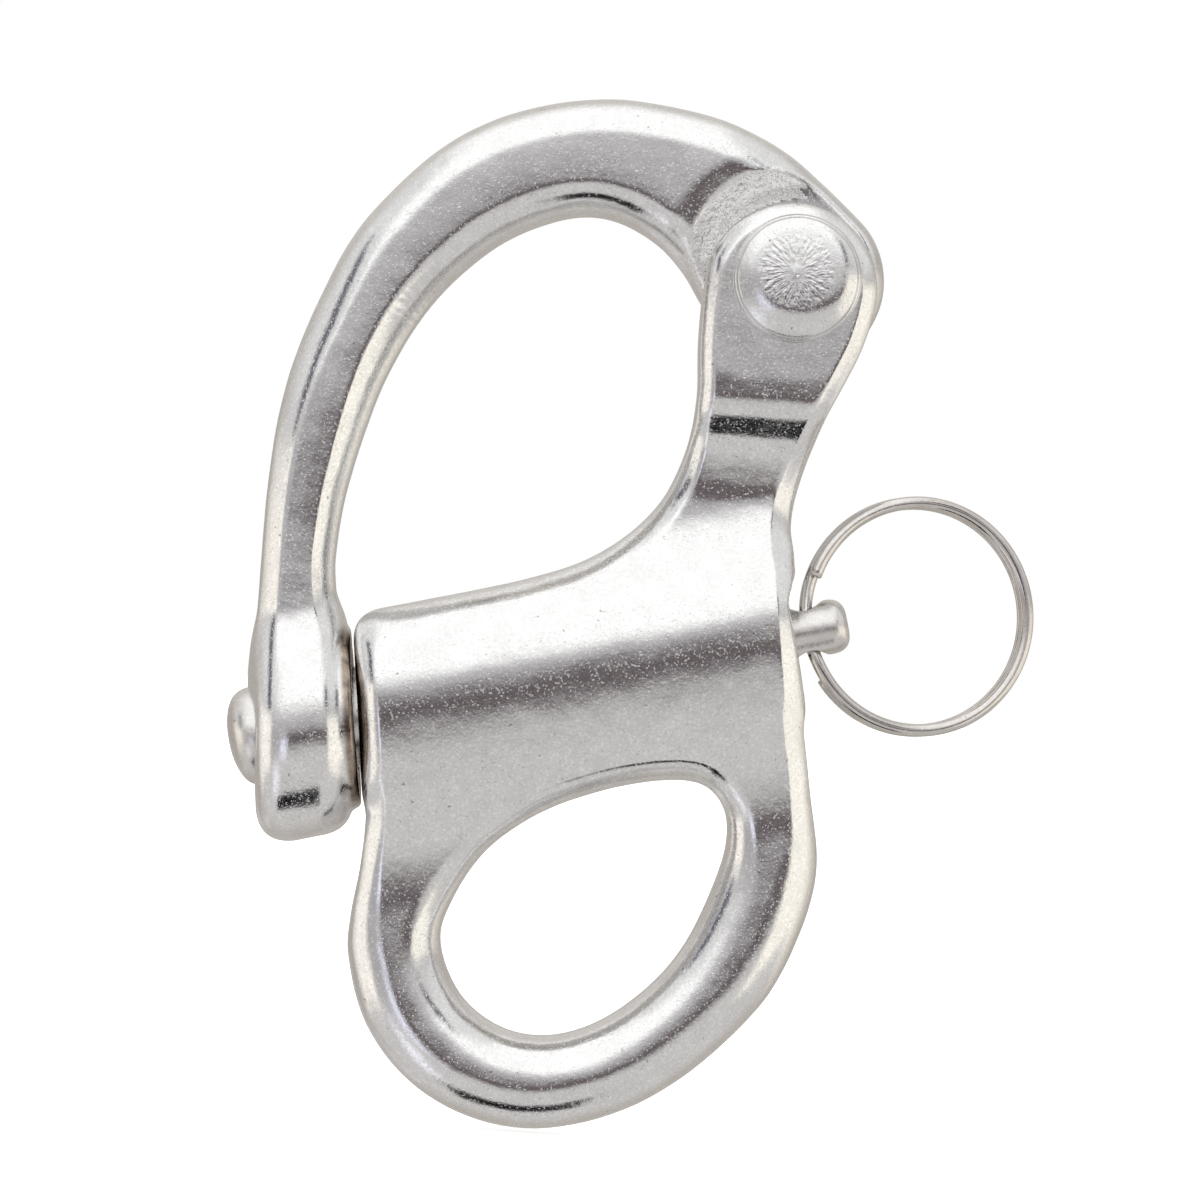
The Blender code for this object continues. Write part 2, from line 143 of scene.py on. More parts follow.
PLUNGER_RADIUS, TAIL_RADIUS = 4.65, 2.55
DOME_TIP, DOME_RISE, DOME_POWER, DOME_STEEPNESS, DOME_EDGE = -31.8, 1.5, 2.6, 0.85, 1.1
SHOULDER, SHOULDER_EDGE = -2.0, 0.3
TAIL_END, TAIL_END_ROUND, TAIL_ROOT = 26.9, 1.8, 1

HEAD_RADIUS, SHANK_RADIUS, HEAD_GAP = 5.95, 3.0, 0.2
HEAD_LIMIT, HEAD_TIP, HEAD_UNDERCUT = 2.14, 2.1, 0.06
RIM_RISE, RIM_EDGE = 0.46, (5.65, 5.95)
BAND_RISE, BAND_SLOPE, BAND_DROOP = 1.84, 0.28, 0.065
BAND_STEP, BAND_EDGE = 1.0, (5.45, 5.85)
CROWN_RADIUS, CROWN_RISE, CROWN_FALL, CROWN_POWER = 3.75, 1.98, 0.2, 1.9
CROWN_SHIFT, CROWN_LEAN, CROWN_FILLET = (-0.2, 0.5), 0.06, 0.12

RING_WIRE, RING_RADIUS, RING_GAP = 1.2, 10.65, 0.03
RING_STATION, RING_HOLE = 23.1, 1.4
RING_TILT, RING_SWING = math.radians(11.5), math.radians(14)
RING_LEAN = RING_TILT - PIN_RISE
RING_START, RING_STOP, RING_STEP = 152, -515, -3
RING_CROSSING, RING_CROSSING_SPAN = -158, 44

SPRING_WIRE, SPRING_RADIUS, SPRING_GAP = 0.9, 3.65, 0.2
SPRING_TURNS, SPRING_CLOSED_PITCH, SPRING_STEPS = 9, 1.05, 40


def arc_points(centre, radius, start, stop, count):
    """Points of an arc, its angles in degrees."""
    angles = np.radians(np.linspace(start, stop, count))
    return list(zip(centre[0] + radius * np.cos(angles), centre[1] + radius * np.sin(angles)))


# Outlines in the middle plane, as X and Z of points on smooth closed curves.
EAR_ARC = arc_points(EAR_CENTRE, EAR_RADIUS, 172, -12, 12)
TANG_ARC = arc_points((PIVOT_X, PIVOT_Z), TANG_RADIUS, -145, 55, 11)
BODY_OUTLINE = [
    (-17.2, 26.0), (-12.0, 30.0), (-4.5, 33.0), (2.5, 36.4), (7.3, 40.8), (9.7, 46.1),
    (10.45, 51.5), (10.2, 57.0), *EAR_ARC, (25.3, 57.0), (23.8, 53.4), (22.3, 50.0),
    (20.8, 45.4), (20.0, 41.3), (20.2, 37.5), (20.9, 32.0), (22.0, 24.5), (23.6, 15.5),
    (24.7, 9.5), (24.2, 4.5), (22.0, -1.8), (18.9, -6.5), (13.5, -11.9), (7.5, -15.6),
    (0.5, -17.5), (-6.0, -16.8), (-11.7, -13.9), (-16.0, -9.0), (-18.1, -3.0), (-18.2, 1.0),
    (-17.6, 6.0), (-17.4, 10.5), (-17.8, 15.5),
]
EYE_HOLE = [
    (-9.7, -1.0), (-9.0, 3.0), (-6.1, 8.0), (-1.3, 11.9), (4.6, 14.5), (10.1, 15.8),
    (13.6, 15.6), (15.7, 13.6), (16.2, 10.5), (15.3, 6.4), (13.1, 0.8), (10.0, -3.5),
    (5.6, -7.1), (0.9, -8.8), (-3.6, -8.3), (-7.5, -5.6),
]
HOOK_OUTER = [
    (20.2, 72.5), (16.7, 75.0), (11.0, 77.4), (4.1, 78.5), (-0.6, 78.5), (-5.5, 77.6),
    (-10.4, 75.8), (-15.1, 72.8), (-19.6, 68.2), (-22.8, 63.7), (-25.3, 58.0), (-27.2, 52.3),
    (-28.3, 46.6), (-28.8, 40.0), (-28.9, 33.0), (-28.8, 26.0), (-28.2, 19.0),
]
HOOK_INNER = [
    (-24.6, 14.0), (-20.6, 19.0), (-20.9, 26.0), (-21.9, 31.4), (-22.1, 35.0), (-21.6, 40.0),
    (-20.3, 45.8), (-18.5, 51.5), (-15.5, 57.4), (-11.8, 61.9), (-8.0, 65.0), (-4.0, 66.9),
    (-0.7, 67.6), (2.5, 67.1), (5.8, 65.4), (8.3, 63.0), (10.2, 60.2),
]


# ---------------------------------------------------------------- fields


def smooth_loop(points, steps=6):
    """A closed Catmull-Rom curve through the points."""
    loop = np.array(points)
    before, after, beyond = np.roll(loop, 1, 0), np.roll(loop, -1, 0), np.roll(loop, -2, 0)
    samples = []
    for step in range(steps):
        t = step / steps
        samples.append(0.5 * (
            2 * loop + (after - before) * t
            + (2 * before - 5 * loop + 4 * after - beyond) * t**2
            + (3 * loop - before - 3 * after + beyond) * t**3
        ))
    return np.stack(samples, 1).reshape(-1, 2)


def outline_distance(x, z, loop):
    """Signed distance to a closed outline, negative inside."""
    nearest = np.full(np.broadcast(x, z).shape, 1e9)
    inside = np.zeros(nearest.shape, bool)
    for (ax, az), (bx, bz) in zip(loop, np.roll(loop, -1, 0)):
        ex, ez = bx - ax, bz - az
        share = np.clip(((x - ax) * ex + (z - az) * ez) / (ex * ex + ez * ez), 0, 1)
        nearest = np.minimum(nearest, (x - ax - share * ex) ** 2 + (z - az - share * ez) ** 2)
        if ez:
            crosses = ((az > z) != (bz > z)) & (x < ax + (z - az) * ex / ez)
            inside ^= crosses
    return np.where(inside, -1, 1) * np.sqrt(nearest)


def blend_min(a, b, reach):
    """The lesser of two fields, with a fillet where they are nearly equal."""
    share = np.maximum(reach - np.abs(a - b), 0) / reach
    return np.minimum(a, b) - share * share * reach / 4


def blend_max(a, b, reach):
    """The greater of two fields, with a rounded edge where they are nearly equal."""
    return -blend_min(-a, -b, reach)


def fade(value, start, stop):
    """0 at start, 1 at stop and smooth between; start may be the higher one."""
    share = np.clip((value - start) / (stop - start), 0, 1)
    return share * share * (3 - 2 * share)


def rounded_plate(distance, across, half, rounding, bend):
    """A plate with a signed outline distance and edges of a depth and a bend."""
    side = distance + rounding
    face = across - half + rounding
    outside = (np.maximum(side, 0) ** bend + np.maximum(face, 0) ** bend) ** (1 / bend)
    return outside + np.minimum(np.maximum(side, face), 0) - rounding


def along_pin(x, z):
    """Station along the plunger's axis and height above it."""
    dx, dz = x - PIN_X, z - PIN_Z
    return dx * PIN_COS + dz * PIN_SIN, dz * PIN_COS - dx * PIN_SIN


def oval_bar(height, across, half_height, half_width):
    """Distance to an endless oval bar along the plunger's axis."""
    tiny = 1e-6
    level = np.sqrt((height / half_height) ** 2 + (across / half_width) ** 2) + tiny
    slope = np.sqrt((height / half_height**2) ** 2 + (across / half_width**2) ** 2) + tiny
    return level * (level - 1) / slope


def smooth_profile(points, blur):
    """A function through points, its corners rounded over a distance."""
    places, values = zip(*points)
    pitch = 0.05
    fine = np.arange(places[0] - 4 * blur, places[-1] + 4 * blur, pitch)
    reach = np.arange(-3 * blur, 3 * blur + pitch, pitch)
    weight = np.exp(-((reach / blur) ** 2))
    raw = np.interp(fine, places, values)
    padded = np.pad(raw, len(reach) // 2, mode="edge")
    soft = np.convolve(padded, weight / weight.sum(), mode="valid")[:len(fine)]
    return lambda place: np.interp(place, fine, soft)


BODY_LOOP = smooth_loop(BODY_OUTLINE)
HOLE_LOOP = smooth_loop(EYE_HOLE)
HOOK_LOOP = smooth_loop(HOOK_OUTER + HOOK_INNER + TANG_ARC)

# Half thickness of eye, arm and ears by Z.
UPRIGHT_PROFILE = smooth_profile([
    (34.0, EYE_HALF), (40.0, WAIST_HALF), (42.0, WAIST_HALF), (43.8, 4.58), (45.3, 4.78),
    (46.7, 5.03), (48.0, 5.55), (50.2, 6.87), (51.5, 7.18), (53.6, EAR_HALF), (56.0, EAR_HALF),
], blur=0.45)


def barrel_half(height):
    """Half thickness of the barrel by height: a crest, with a slope to each side of it."""
    over = height - CREST
    slope = np.where(over > 0, *CREST_SLOPES)
    soft = np.where(over > 0, *CREST_SOFTNESS)
    return BARREL_HALF + soft - np.hypot(slope * over, soft)


def body_outline(x, z):
    """Signed distance to the body's outline in the middle plane, with the eye open."""
    station, height = along_pin(x, z)
    left = BARREL_LEFT + LEFT_FACE_LEAN * height - station
    right = station - BARREL_RIGHT - RIGHT_FACE_LEAN * height
    level = np.maximum(height - BARREL_TOP, -BARREL_BOTTOM - height)
    barrel = blend_max(blend_max(left, right, BARREL_FACE_BLEND), level, BARREL_CORNER)
    solid = blend_min(outline_distance(x, z, BODY_LOOP), barrel, BARREL_TO_BODY)
    return np.maximum(solid, -outline_distance(x, z, HOLE_LOOP))


def body_field(x, y, z):
    """Signed distance to the body casting."""
    across = np.abs(y)
    station, height = along_pin(x, z)
    half = blend_max(barrel_half(height), UPRIGHT_PROFILE(z), HALF_BLEND)
    rounding = EAR_EDGE + (ARM_EDGE - EAR_EDGE) * fade(z, *ARM_EDGE_Z)
    rounding = rounding + (EYE_EDGE - ARM_EDGE) * fade(height, *EYE_EDGE_HEIGHT)
    bend = BEVEL_BEND + (ROUND_BEND - BEVEL_BEND) * fade(height, *EYE_BEND_HEIGHT)
    solid = rounded_plate(body_outline(x, z), across, half, rounding, bend)
    radius = np.hypot(x - PIVOT_X, z - PIVOT_Z)
    slot = np.maximum(radius - SLOT_RADIUS, across - SLOT_HALF)
    solid = blend_max(solid, -slot, SLOT_EDGE)
    solid = blend_max(solid, RIVET_BORE - radius, HOLE_EDGE)
    turned = np.hypot(height, y)
    bore = np.maximum(turned - BORE_RADIUS, station - BORE_END)
    solid = blend_max(solid, -bore, BORE_EDGE)
    solid = blend_max(solid, TAIL_BORE - turned, HOLE_EDGE)
    spot = np.maximum(turned - SPOT_RADIUS, SPOT_FACE - station)
    return blend_max(solid, -spot, HOLE_EDGE)


def bow_field(x, across, z):
    """Signed distance to the hook's bow and tang, before the recess is cut."""
    outline = outline_distance(x, z, HOOK_LOOP)
    crown = HOOK_CROWN * np.maximum(HOOK_CROWN_REACH + outline, 0) ** 2
    radius = np.hypot(x - PIVOT_X, z - PIVOT_Z)
    shoulder = SHOULDER_DROP * (1 - fade(radius, SHOULDER_START, SHOULDER_STOP))
    half = HOOK_HALF - FOOT_THINNING * fade(z, *FOOT_THINNING_Z)
    half = half - np.minimum(crown, HOOK_CROWN_LIMIT) - shoulder
    rounding = FOOT_EDGE + (BOW_EDGE - FOOT_EDGE) * fade(z, *BOW_EDGE_Z)
    bend = BEVEL_BEND + (BOW_BEND - BEVEL_BEND) * fade(z, *BOW_BEND_Z)
    return rounded_plate(outline, across, half, rounding, bend)


def hook_field(x, y, z):
    """Signed distance to the hook casting."""
    across = np.abs(y)
    station, height = along_pin(x, z)
    boss = oval_bar(height, across, BOSS_HEIGHT, BOSS_HALF)
    outer_face = BOSS_LEFT + BOSS_OUTER_LEAN * height - station
    boss = blend_max(boss, outer_face, BOSS_LEFT_ROUND)
    inner_face = station - BOSS_RIGHT - LEFT_FACE_LEAN * height
    boss = blend_max(boss, inner_face, BOSS_RIGHT_ROUND)
    solid = blend_min(bow_field(x, across, z), boss, BOSS_FILLET)
    pad = oval_bar(height, across, PAD_HEIGHT, PAD_HALF)
    pad = blend_max(pad, station - PAD_RIGHT - LEFT_FACE_LEAN * height, PAD_EDGE)
    pad = np.maximum(pad, BOSS_RIGHT - PAD_DEPTH - station)
    solid = blend_min(solid, pad, PAD_FILLET)
    radius = np.hypot(x - PIVOT_X, z - PIVOT_Z)
    rise = (radius - RECESS_RADIUS) * RECESS_SLOPE
    recess = TANG_HALF + (rise + np.hypot(rise, RECESS_SOFTNESS)) / 2
    solid = blend_max(solid, RECESS_STEEPNESS * (across - recess), TANG_EDGE)
    solid = blend_max(solid, RIVET_BORE - radius, TANG_EDGE)
    return blend_max(solid, BORE_RADIUS - np.hypot(height, y), BORE_EDGE)


def plunger_field(station, across, height):
    """Signed distance to the plunger, in its own axes."""
    turned = np.hypot(height, across)
    dome = DOME_TIP + DOME_RISE * (turned / PLUNGER_RADIUS) ** DOME_POWER
    pin = blend_max(turned - PLUNGER_RADIUS, DOME_STEEPNESS * (dome - station), DOME_EDGE)
    pin = blend_max(pin, station - SHOULDER, SHOULDER_EDGE)
    tail = blend_max(turned - TAIL_RADIUS, station - TAIL_END, TAIL_END_ROUND)
    tail = np.maximum(tail, SHOULDER - TAIL_ROOT - station)
    solid = blend_min(pin, tail, SHOULDER_EDGE)
    hole = (station - RING_STATION + math.tan(RING_LEAN) * height) * math.cos(RING_LEAN)
    return blend_max(solid, RING_HOLE - np.hypot(hole, across), BORE_EDGE)


# ---------------------------------------------------------------- surfaces from fields


def surface_net(values, low, step):
    """Vertices and quads of the surface where the sampled values change sign."""
    inside = values < 0
    corners = [(i, j, k) for i in (0, 1) for j in (0, 1) for k in (0, 1)]
    nx, ny, nz = (size - 1 for size in values.shape)

    def corner(array, offset):
        i, j, k = offset
        return array[i:i + nx, j:j + ny, k:k + nz]

    count = sum(corner(inside, offset).astype(np.int8) for offset in corners)
    cells = np.argwhere((count > 0) & (count < 8))
    total = np.zeros((len(cells), 3))
    crossings = np.zeros(len(cells))
    for a in corners:
        for axis in range(3):
            if a[axis]:
                continue
            b = tuple(value + (index == axis) for index, value in enumerate(a))
            va = values[tuple((cells + a).T)]
            vb = values[tuple((cells + b).T)]
            hit = (va < 0) != (vb < 0)
            share = np.where(hit, va / np.where(hit, va - vb, 1), 0)
            place = np.array(a, float) + share[:, None] * np.eye(3)[axis]
            total += place * hit[:, None]
            crossings += hit
    vertices = low + step * (cells + total / crossings[:, None])
    index = np.full((nx, ny, nz), -1)
    index[tuple(cells.T)] = np.arange(len(cells))
    quads = []
    for axis in range(3):
        one, two = (axis + 1) % 3, (axis + 2) % 3
        here = [slice(1, -1)] * 3
        here[axis] = slice(0, -1)
        there = list(here)
        there[axis] = slice(1, None)
        first, second = inside[tuple(here)], inside[tuple(there)]
        for sign in (True, False):
            edges = np.argwhere((first == sign) & (second != sign))
            edges[:, one] += 1
            edges[:, two] += 1
            ring = []
            for shift_one, shift_two in ((1, 1), (0, 1), (0, 0), (1, 0)):
                cell = edges.copy()
                cell[:, one] -= shift_one
                cell[:, two] -= shift_two
                ring.append(index[tuple(cell.T)])
            quads.append(np.stack(ring if sign else ring[::-1], 1))
    return vertices, np.concatenate(quads)


def gradient(field, points, reach=0.05, least_slope=0.3):
    """Distance to a field's surface, and the unit gradient, at points."""
    value = field(*points.T)
    slopes = []
    for axis in range(3):
        shift = np.zeros(3)
        shift[axis] = reach
        slopes.append((field(*(points + shift).T) - field(*(points - shift).T)) / (2 * reach))
    slope = np.stack(slopes, 1)
    steep = np.maximum(np.linalg.norm(slope, axis=1), least_slope)
    return value / steep, slope / steep[:, None]


def relaxed(points, quads, field, rounds=2, pull=0.6, longest_step=0.2):
    """Evens the mesh out and puts it back on the field's surface."""
    for _ in range(rounds):
        total = np.zeros_like(points)
        count = np.zeros(len(points))
        for one in range(4):
            two = (one + 1) % 4
            np.add.at(total, quads[:, one], points[quads[:, two]])
            np.add.at(total, quads[:, two], points[quads[:, one]])
            np.add.at(count, quads[:, one], 1)
            np.add.at(count, quads[:, two], 1)
        points = (1 - pull) * points + pull * total / count[:, None]
        value, slope = gradient(field, points)
        points = points - slope * np.clip(value, -longest_step, longest_step)[:, None]
    return points


def mesh_piece(name, points, faces):
    """A smooth-shaded object from points in millimetres."""
    mesh = bpy.data.meshes.new(name)
    mesh.from_pydata((np.asarray(points) * MM).tolist(), [], faces)
    mesh.shade_smooth()
    piece = bpy.data.objects.new(name, mesh)
    bpy.context.scene.collection.objects.link(piece)
    return piece


def grown(name, field, low, high, voxel, skin, place=lambda points: points):
    """A closed smooth mesh of a field in a box, with a skin of fine detail, put in place."""
    margin = 4 * voxel
    low, high = np.array(low) - margin, np.array(high) + margin
    axes = [np.arange(a, b, voxel) for a, b in zip(low, high)]
    values = field(axes[0][:, None, None], axes[1][None, :, None], axes[2][None, None, :])
    points, quads = surface_net(values, low, voxel)
    points = relaxed(points, quads, field)
    _, slope = gradient(field, points)
    points = points + slope * skin(points, slope)[:, None]
    return mesh_piece(name, place(points), quads.tolist())


def casting(name, field, node, skin):
    """A cast piece grown in the box of its CAD node."""
    low, high = (np.array(corner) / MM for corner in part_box(node))
    return grown(name, field, low, high, VOXEL, skin)


# ---------------------------------------------------------------- skins

# Layers of unevenness, each a depth and a wavelength in millimetres.
CAST_LAYERS = ((0.012, 4.0), (0.003, 1.3))
COARSE_LAYERS = ((0.014, 0.9), (0.026, 0.55))
TUMBLED_LAYERS = ((0.005, 2.4), (0.003, 0.8))
SEAM_HEIGHT, SEAM_WIDTH, SEAM_TURN = 0.05, 0.38, (0.1, 0.5)
TURNING_DEPTH, TURNING_RATE = 0.0015, 9.0
FILE_WANDER, FILE_WAVELENGTH = 1.5, 1.5
CREASE_DEPTH, CREASE_WAVELENGTH, CREASE_CROWDING, CREASE_DRIFT = 0.012, 3.2, 17, 3.4
FINE_CREASE_SHARE, FINE_CREASE_RATE = 0.8, 2.1
CREASES_BEGIN, CREASES_END, GRAIN_END = (0.1, 1.8), (3.2, 3.7), (3.1, 3.6)
CROWN_GRAIN, HEAD_WAVES = (0.005, 0.6), (0.004, 2.5)
PUNCH_PIP, PUNCH_PIP_WIDTH = 0.03, 0.5


def ripple(points, wavelength, waves=28):
    """Even, seeded unevenness between about -1 and 1, with features of one size."""
    directions = RNG.normal(size=(waves, 3))
    directions /= np.linalg.norm(directions, axis=1)[:, None]
    rates = math.tau / wavelength * RNG.uniform(0.7, 1.4, waves)
    phases = RNG.uniform(0, math.tau, waves)
    total = np.zeros(len(points))
    for direction, rate, phase in zip(directions, rates, phases):
        total += np.cos(points @ direction * rate + phase)
    return total / math.sqrt(waves / 2) / 2


def layered(points, layers):
    """A sum of ripples."""
    return sum(depth * ripple(points, wavelength) for depth, wavelength in layers)


def cast_skin(points, slope):
    """Gently uneven skin and the seam that the mould's halves left round the edges."""
    lift = layered(points, CAST_LAYERS)
    edge = 1 - fade(np.abs(slope[:, 1]), *SEAM_TURN)
    return lift + SEAM_HEIGHT * np.exp(-((points[:, 1] / SEAM_WIDTH) ** 2)) * edge


def in_recess(points):
    """1 on the rough band round the tang that was left as cast."""
    x, y, z = points.T
    radius = np.hypot(x - PIVOT_X, z - PIVOT_Z)
    band = fade(radius, *ROUGH_INNER) * (1 - fade(radius, *ROUGH_OUTER))
    band = band * (1 - fade(x + z, ROUGH_END, ROUGH_END + ROUGH_FADE))
    return band * fade(np.abs(y), *ROUGH_DEPTH)


def tool_marks(points, centre, reach, pitch, angle):
    """A small patch of file or grinding marks, their angle in degrees."""
    x, z = points[:, 0] - centre[0], points[:, 2] - centre[1]
    patch = np.exp(-((np.hypot(x, z) / reach) ** 4))
    turn = math.radians(angle)
    run = x * math.cos(turn) + z * math.sin(turn)
    wander = FILE_WANDER * ripple(points, FILE_WAVELENGTH)
    return patch * np.sin(math.tau * run / pitch + wander)


def hook_skin(points, slope):
    """The hook's skin: coarse in the recess, filed by the loop and ground near the boss."""
    coarse = layered(points, COARSE_LAYERS)
    filed = 0.02 * tool_marks(points, centre=(-16.7, 57.8), reach=1.6, pitch=0.75, angle=60)
    ground = 0.012 * tool_marks(points, centre=(-25.4, 29.4), reach=1.2, pitch=0.6, angle=80)
    return cast_skin(points, slope) + in_recess(points) * coarse + filed + ground


def plunger_skin(points, _slope):
    """Faint turning rings, softened by tumbling."""
    rings = TURNING_DEPTH * np.sin(points[:, 0] * TURNING_RATE)
    return rings + layered(points, TUMBLED_LAYERS)


# ---------------------------------------------------------------- turned pieces and wires


def pin_place(points):
    """From station, distance across and height to the frame's coordinates."""
    station, across, height = points.T
    x = PIN_X + station * PIN_COS - height * PIN_SIN
    z = PIN_Z + station * PIN_SIN + height * PIN_COS
    return np.stack([x, across, z], 1)


def rim_height(radius):
    """Height of the upset head's thin rim over its seat."""
    return RIM_RISE - RIM_RISE * fade(radius, *RIM_EDGE) ** 2


def band_height(radius):
    """Height of the sloping band round the crown, which ends in a step down to the rim."""
    out = radius - CROWN_RADIUS
    slope = BAND_RISE - BAND_SLOPE * out - BAND_DROOP * np.maximum(out, 0) ** 2
    return slope - BAND_STEP * fade(radius, *BAND_EDGE)


def crown_height(out, z):
    """Height of the crown at a distance from its own centre; the punch left it leaning."""
    return CROWN_RISE - CROWN_FALL * (out / CROWN_RADIUS) ** CROWN_POWER - CROWN_LEAN * z


def head_height(x, z, radius):
    """Height of a riveted head over its seat, its crown wrinkled in radial creases."""
    off_x, off_z = x - CROWN_SHIFT[0], z - CROWN_SHIFT[1]
    out, spin = np.hypot(off_x, off_z), np.arctan2(off_z, off_x)
    around = np.stack([
        CREASE_CROWDING * np.cos(spin), CREASE_CROWDING * np.sin(spin), CREASE_DRIFT * out
    ], 1)
    crease = ripple(around, CREASE_WAVELENGTH)
    crease = crease + FINE_CREASE_SHARE * ripple(around * FINE_CREASE_RATE, CREASE_WAVELENGTH)
    creased = (1 - fade(out, *CREASES_END)) * fade(out, *CREASES_BEGIN)
    flat = np.stack([x, z, 0 * x], 1)
    crown = crown_height(out, z) + CREASE_DEPTH * creased * crease
    crown = crown + (1 - fade(out, *GRAIN_END)) * layered(flat, [CROWN_GRAIN])
    crown = crown + PUNCH_PIP * np.exp(-((out / PUNCH_PIP_WIDTH) ** 2))
    height = blend_min(crown, band_height(radius), CROWN_FILLET)
    height = np.maximum(height, rim_height(radius)) + layered(flat, [HEAD_WAVES])
    return np.minimum(height, HEAD_LIMIT)


def circle_points(radius, y, turn):
    """Points of a circle about the rivet's axis."""
    return np.stack([
        PIVOT_X + radius * np.cos(turn), np.full(len(turn), y), PIVOT_Z + radius * np.sin(turn)
    ], 1)


def rivet_piece():
    """The rivet: a shank between two heads, the front one and then the back one."""
    rings, sides = ((84, 280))
    reach = HEAD_RADIUS * np.sin(np.linspace(0, math.pi / 2, rings)[1:])
    turn = np.linspace(0, math.tau, sides, endpoint=False)
    radius, angle = (grid.ravel() for grid in np.meshgrid(reach, turn, indexing="ij"))
    x, z = radius * np.cos(angle), radius * np.sin(angle)
    seat = EAR_HALF + HEAD_GAP
    points, faces = [], []
    for side in (-1, 1):
        start = sum(len(part) for part in points)
        tip = start + len(radius)
        under = tip + 1
        shank = under + sides
        height = head_height(x, z, radius)
        points += [
            np.stack([PIVOT_X + x, side * (seat + height), PIVOT_Z + z], 1),
            np.array([[PIVOT_X, side * (seat + HEAD_TIP), PIVOT_Z]]),
            circle_points(HEAD_RADIUS - HEAD_UNDERCUT, side * seat, turn),
            circle_points(SHANK_RADIUS, side * seat, turn),
        ]
        rows = [start + ring * sides for ring in range(rings - 1)]
        made = []
        for j in range(sides):
            k = (j + 1) % sides
            made.append([tip, start + j, start + k])
            for row, above in zip(rows, rows[1:]):
                made.append([row + j, above + j, above + k, row + k])
            made.append([rows[-1] + j, under + j, under + k, rows[-1] + k])
            made.append([under + j, shank + j, shank + k, under + k])
        faces += [face if side < 0 else face[::-1] for face in made]
    step_over = sum(len(part) for part in points) // 2
    front_shank = step_over - sides
    for j in range(sides):
        a, b = front_shank + j, front_shank + (j + 1) % sides
        faces.append([a, a + step_over, b + step_over, b])
    return mesh_piece("rivet", np.concatenate(points), faces)


def swept(name, points, radius, sides):
    """A round wire along a path, with slightly rounded cut ends."""
    inset, end_share = 0.12 * radius, 0.82
    path = np.array(points)
    along = np.gradient(path, axis=0)
    along /= np.linalg.norm(along, axis=1)[:, None]
    any_direction = (0.3, 0.1, 0.9)
    across = np.cross(along[0], any_direction)
    turn = np.linspace(0, math.tau, sides, endpoint=False)[:, None]
    stations = [(0, inset, end_share)] + [(index, 0, 1) for index in range(len(path))]
    stations.append((len(path) - 1, -inset, end_share))
    rings = []
    for index, shift, share in stations:
        across = across - along[index] * (across @ along[index])
        across /= np.linalg.norm(across)
        other = np.cross(along[index], across)
        centre = path[index] - along[index] * shift
        rings.append(centre + share * radius * (across * np.cos(turn) + other * np.sin(turn)))
    faces = [list(range(sides))]
    for ring in range(len(rings) - 1):
        for side in range(sides):
            a, b = ring * sides + (side + 1) % sides, ring * sides + side
            faces.append([a, b, b + sides, a + sides])
    last = (len(rings) - 1) * sides
    faces.append([last + side for side in reversed(range(sides))])
    return mesh_piece(name, np.concatenate(rings), faces)


def spring_path():
    """Nine turns with closed ends round the plunger's tail."""
    start = SHOULDER + SPRING_GAP + SPRING_WIRE / 2
    stop = BORE_END - SPRING_GAP - SPRING_WIRE / 2
    open_pitch = (stop - start - 2 * SPRING_CLOSED_PITCH) / (SPRING_TURNS - 2)
    turns = np.linspace(0, SPRING_TURNS, SPRING_TURNS * SPRING_STEPS + 1)
    ends = np.minimum(turns, 1) + np.maximum(turns - SPRING_TURNS + 1, 0)
    middle = np.clip(turns - 1, 0, SPRING_TURNS - 2)
    station = start + ends * SPRING_CLOSED_PITCH + middle * open_pitch
    angle = turns * math.tau
    return pin_place(np.stack([
        station, SPRING_RADIUS * np.sin(angle), SPRING_RADIUS * np.cos(angle)
    ], 1))


def ring_path():
    """Two turns side by side that cross over where the ring passes the tail's hole."""
    upward = Vector((-math.sin(RING_TILT), 0, math.cos(RING_TILT)))
    outward = Vector((math.cos(RING_TILT), 0, math.sin(RING_TILT)))
    outward.rotate(Matrix.Rotation(RING_SWING, 3, upward))
    front = outward.cross(upward)
    hole = Vector(pin_place(np.array([[RING_STATION, 0, 0]]))[0])
    centre = hole + outward * RING_RADIUS
    degrees = np.arange(RING_START, RING_STOP, RING_STEP)
    angles = np.radians(degrees)
    crossed = np.clip((RING_CROSSING - degrees) / RING_CROSSING_SPAN, 0, 1)
    offset = (RING_WIRE / 2 + RING_GAP) * np.cos(math.pi * crossed)
    return (
        np.array(centre) + RING_RADIUS * np.cos(angles)[:, None] * np.array(outward)
        + RING_RADIUS * np.sin(angles)[:, None] * np.array(upward)
        + offset[:, None] * np.array(front)
    )


# ---------------------------------------------------------------- nodes


def material(name):
    """A new material and its shader."""
    made = bpy.data.materials.new(name)
    made.use_nodes = True
    return made, made.node_tree.nodes["Principled BSDF"]


def noise(tree, rate, detail=2.0, roughness=0.5):
    """Noise in the object's own space, with a rate of features per millimetre."""
    place = tree.nodes.new("ShaderNodeTexCoord")
    mapping = tree.nodes.new("ShaderNodeMapping")
    mapping.inputs["Scale"].default_value = (1 / MM, 1 / MM, 1 / MM)
    texture = tree.nodes.new("ShaderNodeTexNoise")
    texture.inputs["Scale"].default_value = rate
    texture.inputs["Detail"].default_value = detail
    texture.inputs["Roughness"].default_value = roughness
    tree.links.new(place.outputs["Object"], mapping.inputs["Vector"])
    tree.links.new(mapping.outputs["Vector"], texture.inputs["Vector"])
    return texture.outputs["Fac"]


def colour_between(tree, source, low, high, start=0.35, stop=0.65):
    """A colour that runs from low to high as the source goes from start to stop."""
    node = tree.nodes.new("ShaderNodeValToRGB")
    for element, place, colour in zip(node.color_ramp.elements, (start, stop), (low, high)):
        element.position = place
        element.color = (*colour, 1)
    tree.links.new(source, node.inputs["Fac"])
    return node.outputs["Color"]


